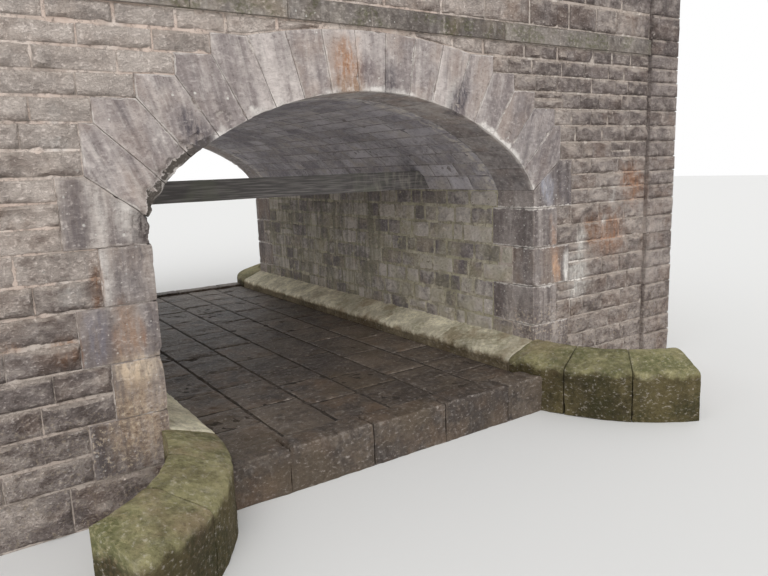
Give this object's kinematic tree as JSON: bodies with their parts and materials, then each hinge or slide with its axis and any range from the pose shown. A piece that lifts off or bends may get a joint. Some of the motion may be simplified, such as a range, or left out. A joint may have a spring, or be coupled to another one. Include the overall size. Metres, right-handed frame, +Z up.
{
  "type": "stone arch bridge",
  "caption": "Single-span masonry arch bridge with stepped voussoirs, quoined jambs, coursed walls, parapets and a cross beam under the arch.",
  "frame": {"origin": "centre of the plan, at the foot of the walls in the stream bed", "axes": "+X along the road to the right as the front face is seen, +Y from the front face along the barrel to the back face, +Z up"},
  "size_m": [10.29, 11.8952, 5.569],
  "materials": {
    "dressed_stone": "weathered, tooled",
    "walling_stone": "rock-faced, weathered",
    "soffit_stone": "damp, rough",
    "kerb_stone": "worn",
    "bed_stone": "water-worn",
    "deck_fill": "compacted, matt",
    "beam_timber": "weathered, dark"
  },
  "bodies": {
    "root": {"left_abutment": "soffit_stone", "right_abutment": "soffit_stone", "left_footing": "kerb_stone", "right_footing": "kerb_stone", "front_aprons": "kerb_stone", "back_aprons": "kerb_stone", "invert_floor": "bed_stone", "front_sill": "bed_stone", "back_sill": "bed_stone", "arch_barrel": "soffit_stone", "front_left_springer": "dressed_stone", "front_right_springer": "dressed_stone", "back_left_springer": "dressed_stone", "back_right_springer": "dressed_stone", "front_left_ring": "dressed_stone", "front_keystone": "dressed_stone", "front_right_ring": "dressed_stone", "back_left_ring": "dressed_stone", "back_keystone": "dressed_stone", "back_right_ring": "dressed_stone", "front_left_quoins": "dressed_stone", "front_right_quoins": "dressed_stone", "back_left_quoins": "dressed_stone", "back_right_quoins": "dressed_stone", "front_left_wall": "walling_stone", "front_right_wall": "walling_stone", "back_left_wall": "walling_stone", "back_right_wall": "walling_stone", "front_left_spandrel": "walling_stone", "front_right_spandrel": "walling_stone", "back_left_spandrel": "walling_stone", "back_right_spandrel": "walling_stone", "front_left_pilaster": "walling_stone", "front_right_pilaster": "walling_stone", "back_left_pilaster": "walling_stone", "back_right_pilaster": "walling_stone", "front_string_course": "dressed_stone", "back_string_course": "dressed_stone", "front_parapet": "walling_stone", "back_parapet": "walling_stone", "front_coping": "dressed_stone", "back_coping": "dressed_stone", "deck_fill": "deck_fill", "cross_beam": "beam_timber"}
  },
  "joints": []
}
